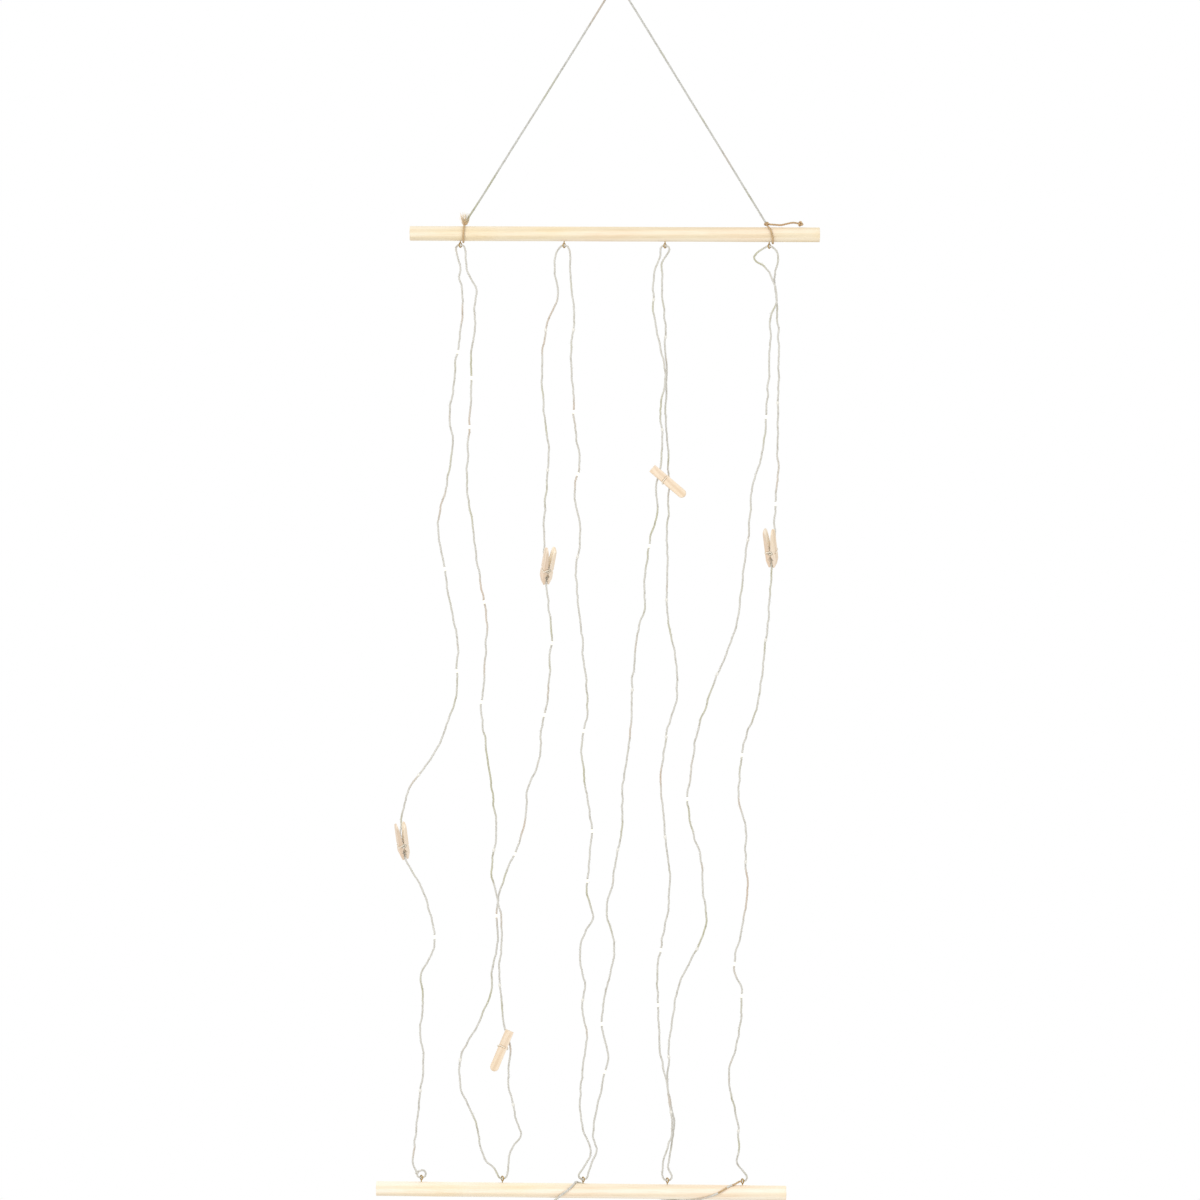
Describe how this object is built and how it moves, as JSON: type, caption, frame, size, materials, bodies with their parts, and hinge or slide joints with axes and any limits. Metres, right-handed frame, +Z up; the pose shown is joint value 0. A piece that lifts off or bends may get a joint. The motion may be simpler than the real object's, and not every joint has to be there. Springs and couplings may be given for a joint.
{
  "type": "photo clip string lights",
  "caption": "Hanging photo display: a light string laced up and down between two wooden dowels, hung by a twine, with small spring clips for photos and a battery box on its lead.",
  "frame": {"origin": "top of the hanger twine, where it bends over the nail that it hangs from", "axes": "+Z up, +X to the right as seen from the front, +Y back to the wall; the front is -Y"},
  "size_m": [0.3592, 0.0317, 1.0883],
  "materials": {
    "pine": "sanded bare pine",
    "clip_wood": "bare birch",
    "eye_wire": "plated wire",
    "spring_wire": "drawn wire",
    "rope": "twisted jute over the light wire",
    "jute": "twisted jute",
    "casing": "fine matte",
    "switch_plastic": "matte",
    "cell_skin": "plain printed sleeve",
    "contact_metal": "nickel plated"
  },
  "bodies": {
    "hanger": {"hanger_twine": "jute", "left_tie_knot": "jute", "left_tie_loop": "jute", "right_tie_knot": "jute", "right_tie_loop": "jute", "hanger_tail": "jute", "tail_knot": "jute"},
    "top_bar": {"top_dowel": "pine", "top_eye_1": "eye_wire", "top_eye_2": "eye_wire", "top_eye_3": "eye_wire", "top_eye_4": "eye_wire"},
    "curtain": {"string_run_1": "rope", "string_run_2": "rope", "string_run_3": "rope", "string_run_4": "rope", "string_run_5": "rope", "string_run_6": "rope", "string_run_7": "rope", "string_run_8": "rope", "string_end_knot": "rope", "string_end_loop": "rope"},
    "bottom_bar": {"bottom_dowel": "pine", "bottom_eye_1": "eye_wire", "bottom_eye_2": "eye_wire", "bottom_eye_3": "eye_wire", "bottom_eye_4": "eye_wire", "bottom_eye_5": "eye_wire", "lead_on_dowel": "rope"},
    "battery_box": {"lead_drop": "rope", "box_shell": "casing", "cell_1": "cell_skin", "cell_2": "cell_skin", "contact_plate_left": "contact_metal", "contact_plate_right": "contact_metal", "contact_bridge": "contact_metal", "contact_spring_1": "contact_metal", "contact_spring_2": "contact_metal"},
    "box_cover": {"box_cover": "casing"},
    "box_switch": {"box_switch": "switch_plastic"},
    "clip_1": {"clip_1_leg": "clip_wood", "clip_1_spring": "spring_wire"},
    "clip_1_lever": {"clip_1_lever": "clip_wood"},
    "clip_2": {"clip_2_leg": "clip_wood", "clip_2_spring": "spring_wire"},
    "clip_2_lever": {"clip_2_lever": "clip_wood"},
    "clip_3": {"clip_3_leg": "clip_wood", "clip_3_spring": "spring_wire"},
    "clip_3_lever": {"clip_3_lever": "clip_wood"},
    "clip_4": {"clip_4_leg": "clip_wood", "clip_4_spring": "spring_wire"},
    "clip_4_lever": {"clip_4_lever": "clip_wood"},
    "clip_5": {"clip_5_leg": "clip_wood", "clip_5_spring": "spring_wire"},
    "clip_5_lever": {"clip_5_lever": "clip_wood"}
  },
  "joints": [
    {"name": "top_bar_roll", "type": "hinge", "parent": "hanger", "child": "top_bar", "pos_m": [-0.0018, 0, -0.20246], "axis": [1, 0, -0.0035], "range_deg": [-60, 60]},
    {"name": "curtain_swing", "type": "hinge", "parent": "top_bar", "child": "curtain", "pos_m": [-0.00183, 0, -0.21175], "axis": [1, 0, -0.0035], "range_deg": [-60, 60]},
    {"name": "bottom_bar_roll", "type": "hinge", "parent": "curtain", "child": "bottom_bar", "pos_m": [-0.02889, 0, -0.96805], "axis": [0.9999, 0, -0.0112], "range_deg": [-80, 80]},
    {"name": "battery_box_swing", "type": "hinge", "parent": "bottom_bar", "child": "battery_box", "pos_m": [-0.05483, -0.00091, -0.98835], "axis": [1, 0, 0], "range_deg": [-40, 40]},
    {"name": "box_cover_slide", "type": "slide", "parent": "battery_box", "child": "box_cover", "axis": [0, 0, -1], "range_m": [0, 0.05]},
    {"name": "box_switch_slide", "type": "slide", "parent": "battery_box", "child": "box_switch", "axis": [1, 0, 0], "range_m": [0, 0.004]},
    {"name": "clip_1_swivel", "type": "hinge", "parent": "curtain", "child": "clip_1", "pos_m": [-0.17258, -0.00001, -0.70376], "axis": [0.2575, 0.0081, -0.9663], "range_deg": [-30, 30]},
    {"name": "clip_2_swivel", "type": "hinge", "parent": "curtain", "child": "clip_2", "pos_m": [-0.05784, 0, -0.48101], "axis": [0.0921, -0.0022, -0.9957], "range_deg": [-30, 30]},
    {"name": "clip_3_swivel", "type": "hinge", "parent": "curtain", "child": "clip_3", "pos_m": [0.0339, -0.001, -0.39677], "axis": [-0.2492, 0, -0.9684], "range_deg": [0, 45]},
    {"name": "clip_4_swivel", "type": "hinge", "parent": "curtain", "child": "clip_4", "pos_m": [-0.0887, -0.00019, -0.85199], "axis": [-0.336, -0.002, 0.9419], "range_deg": [-30, 30]},
    {"name": "clip_5_swivel", "type": "hinge", "parent": "curtain", "child": "clip_5", "pos_m": [0.12579, 0, -0.46725], "axis": [-0.0965, 0, -0.9953], "range_deg": [-30, 30]},
    {"name": "clip_1_open", "type": "hinge", "parent": "clip_1", "child": "clip_1_lever", "pos_m": [-0.17332, -0.00545, -0.69613], "axis": [0.3301, -0.7832, -0.5269], "range_deg": [0, 12], "stiffness_Nm_per_rad": 0.01, "springref_deg": -11.46, "deforming": ["clip_1_spring"]},
    {"name": "clip_2_open", "type": "hinge", "parent": "clip_2", "child": "clip_2_lever", "pos_m": [-0.05645, -0.00566, -0.47364], "axis": [0.3196, -0.7214, -0.6144], "range_deg": [0, 12], "stiffness_Nm_per_rad": 0.01, "springref_deg": -11.46, "deforming": ["clip_2_spring"]},
    {"name": "clip_3_open", "type": "hinge", "parent": "clip_3", "child": "clip_3_lever", "pos_m": [0.03878, -0.001, -0.40092], "axis": [0.647, 0, 0.7625], "range_deg": [0, 12], "stiffness_Nm_per_rad": 0.01, "springref_deg": -11.46, "deforming": ["clip_3_spring"]},
    {"name": "clip_4_open", "type": "hinge", "parent": "clip_4", "child": "clip_4_lever", "pos_m": [-0.09218, -0.00017, -0.86029], "axis": [0.9224, 0.0014, -0.3862], "range_deg": [0, 12], "stiffness_Nm_per_rad": 0.01, "springref_deg": -11.46, "deforming": ["clip_4_spring"]},
    {"name": "clip_5_open", "type": "hinge", "parent": "clip_5", "child": "clip_5_lever", "pos_m": [0.12464, -0.00519, -0.45949], "axis": [-0.3318, -0.7604, -0.5584], "range_deg": [0, 12], "stiffness_Nm_per_rad": 0.01, "springref_deg": -11.46, "deforming": ["clip_5_spring"]}
  ]
}
